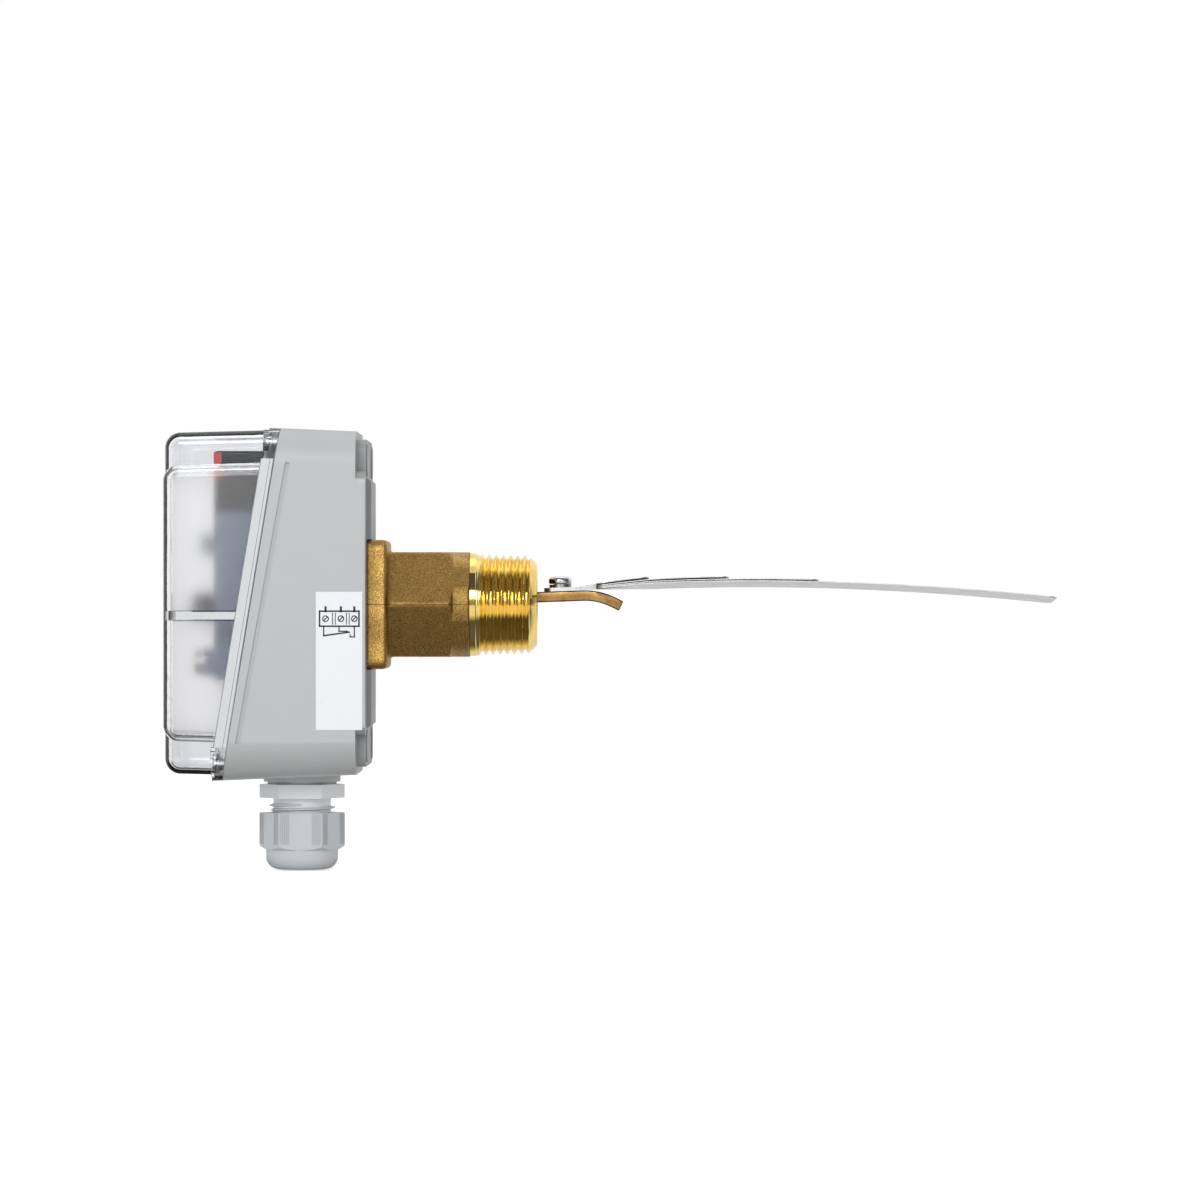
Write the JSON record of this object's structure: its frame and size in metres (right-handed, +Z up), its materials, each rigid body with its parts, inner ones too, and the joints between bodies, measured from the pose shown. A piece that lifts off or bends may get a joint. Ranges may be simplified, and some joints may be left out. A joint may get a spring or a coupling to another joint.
{
  "type": "paddle flow switch",
  "caption": "Paddle flow switch for a pipe tee: brass thread body with spring-steel paddles on a pivoted lever, and a grey housing with clear cover, cable gland and snap switch.",
  "frame": {"origin": "on the thread axis where the hexagon ends and the thread begins", "axes": "+X along the thread axis from the housing to the paddle tip, +Z up with the gland pointing down, +Y to the left when looking along +X with +Z up"},
  "size_m": [0.287, 0.0701, 0.1425],
  "materials": {
    "housing_plastic": "moulded light grey, fine texture",
    "clear_plastic": "clear polycarbonate, slightly frosted sides",
    "gland_plastic": "moulded light grey",
    "black_rubber": "matt",
    "cast_brass": "sand-cast flange and hexagon, turned thread",
    "bronze": "drawn bar",
    "stainless": "rolled spring strip",
    "zinc_steel": "zinc plated",
    "chrome_screw": "bright plated",
    "dark_steel": "dark passivated sheet",
    "black_plastic": "moulded black",
    "red_plastic": "moulded",
    "blue_plastic": "moulded",
    "white_plastic": "moulded",
    "contact_brass": "stamped, bright",
    "phosphor_bronze": "formed thin sheet",
    "label_foil": "white label film"
  },
  "bodies": {
    "housing": {"housing_base": "housing_plastic", "clear_cover": "clear_plastic", "cover_gasket": "black_rubber", "cover_screws": "chrome_screw", "type_label": "label_foil", "gland_washer": "black_rubber", "gland_body": "gland_plastic", "gland_seal": "black_rubber", "gland_nut": "gland_plastic", "gland_locknut": "gland_plastic", "brass_body": "cast_brass", "body_seal": "black_rubber", "body_screws": "zinc_steel", "bellows_carrier": "contact_brass", "bellows": "phosphor_bronze", "pivot_pin": "zinc_steel", "bracket": "dark_steel", "range_spring": "zinc_steel", "microswitch": "black_plastic", "switch_screws": "zinc_steel", "contact_strips": "contact_brass", "terminal_block": "black_plastic", "block_screws": "zinc_steel", "terminal_plates": "contact_brass", "terminal_clamps": "zinc_steel", "terminal_screws": "zinc_steel", "earth_clamp": "dark_steel", "earth_screw": "zinc_steel", "marker_red": "red_plastic", "marker_blue": "blue_plastic", "marker_white": "white_plastic"},
    "lever": {"lever": "bronze", "paddle_screw": "chrome_screw", "lock_washer": "zinc_steel", "paddle_6in": "stainless", "paddle_3in": "stainless", "paddle_2in": "stainless", "paddle_1in": "stainless", "switch_arm": "zinc_steel", "arm_screw": "zinc_steel", "finger_pad": "black_plastic"},
    "switch_plunger": {"switch_plunger": "red_plastic"},
    "range_screw": {"range_screw": "dark_steel"},
    "spring_nut": {"spring_nut": "contact_brass"}
  },
  "joints": [
    {"name": "lever_swing", "type": "hinge", "parent": "housing", "child": "lever", "pos_m": [-0.0254, 0, 0], "axis": [0, 1, 0], "range_deg": [0, 3], "stiffness_Nm_per_rad": 0.35, "springref_deg": -11.46, "deforming": ["bellows", "range_spring"]},
    {"name": "plunger_press", "type": "slide", "parent": "housing", "child": "switch_plunger", "axis": [0, 0, 1], "range_m": [0, 0.002]},
    {"name": "range_screw_turn", "type": "hinge", "parent": "housing", "child": "range_screw", "pos_m": [-0.0819, 0.005, 0.0197], "axis": [1, 0, 0], "range_deg": [-905, 1805]},
    {"name": "spring_nut_slide", "type": "slide", "parent": "housing", "child": "spring_nut", "axis": [-1, 0, 0], "range_m": [-0.00175, 0.0035], "deforming": ["range_spring"]}
  ],
  "couplings": [
    {"joint": "plunger_press", "follows": "lever_swing", "m_per_rad": 0.038},
    {"joint": "range_screw_turn", "follows": "spring_nut_slide", "rad_per_m": 8976}
  ]
}
